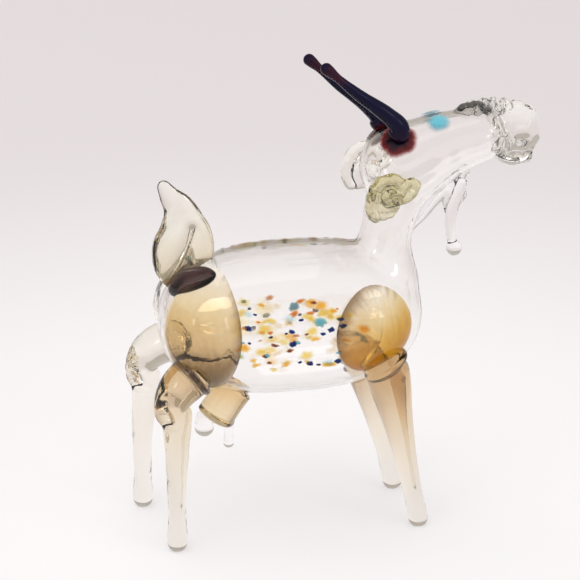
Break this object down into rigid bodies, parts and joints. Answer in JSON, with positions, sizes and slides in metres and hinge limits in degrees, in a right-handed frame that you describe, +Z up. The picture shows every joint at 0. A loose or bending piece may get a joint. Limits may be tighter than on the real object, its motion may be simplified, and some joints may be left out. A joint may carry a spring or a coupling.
{
  "type": "glass goat figurine",
  "caption": "Small lampworked glass goat figurine, standing, with a hollow clear body and head, smoky amber legs and tail, dark swept-back horns and coloured glass chips on its flanks.",
  "frame": {"origin": "under the middle of the goat's bounding box, on the surface that it stands on", "axes": "+X the way the goat faces, +Y its left side, +Z up"},
  "size_m": [0.089, 0.0328, 0.1039],
  "materials": {
    "clear_glass": "fire-polished, clear",
    "smoke_glass": "fire-polished, pale smoky amber",
    "amber_glass": "fire-polished, amber",
    "olive_glass": "fire-polished, pale smoky olive",
    "violet_glass": "fire-polished, dark violet-navy",
    "turquoise_glass": "fire-polished, turquoise",
    "orange_chip": "melted-in chip, orange",
    "navy_chip": "melted-in chip, navy",
    "yellow_chip": "melted-in chip, yellow",
    "turquoise_chip": "melted-in chip, turquoise",
    "brown_chip": "melted-in chip, brown",
    "cream_chip": "melted-in chip, cream",
    "red_orange_chip": "melted-in chip, red-orange"
  },
  "bodies": {
    "root": {"body_bubble": "clear_glass", "head_bubble": "clear_glass", "right_haunch": "amber_glass", "left_haunch": "amber_glass", "right_shoulder": "amber_glass", "left_shoulder": "amber_glass", "right_hind_leg": "smoke_glass", "left_hind_leg": "smoke_glass", "right_foreleg": "smoke_glass", "left_foreleg": "smoke_glass", "tail": "smoke_glass", "udder": "amber_glass", "rear_teat": "smoke_glass", "front_teat": "smoke_glass", "muzzle": "clear_glass", "right_horn": "violet_glass", "left_horn": "violet_glass", "right_ear": "olive_glass", "left_ear": "olive_glass", "right_eye": "turquoise_glass", "left_eye": "turquoise_glass", "beard": "clear_glass", "right_chip_1": "orange_chip", "left_chip_1": "orange_chip", "right_chip_2": "navy_chip", "left_chip_2": "navy_chip", "right_chip_3": "yellow_chip", "left_chip_3": "yellow_chip", "right_chip_4": "turquoise_chip", "left_chip_4": "turquoise_chip", "right_chip_5": "brown_chip", "left_chip_5": "brown_chip", "right_chip_6": "cream_chip", "left_chip_6": "cream_chip", "right_chip_7": "red_orange_chip", "left_chip_7": "red_orange_chip", "right_chip_8": "orange_chip", "left_chip_8": "orange_chip", "right_chip_9": "navy_chip", "left_chip_9": "navy_chip", "right_chip_10": "yellow_chip", "left_chip_10": "yellow_chip"}
  },
  "joints": []
}
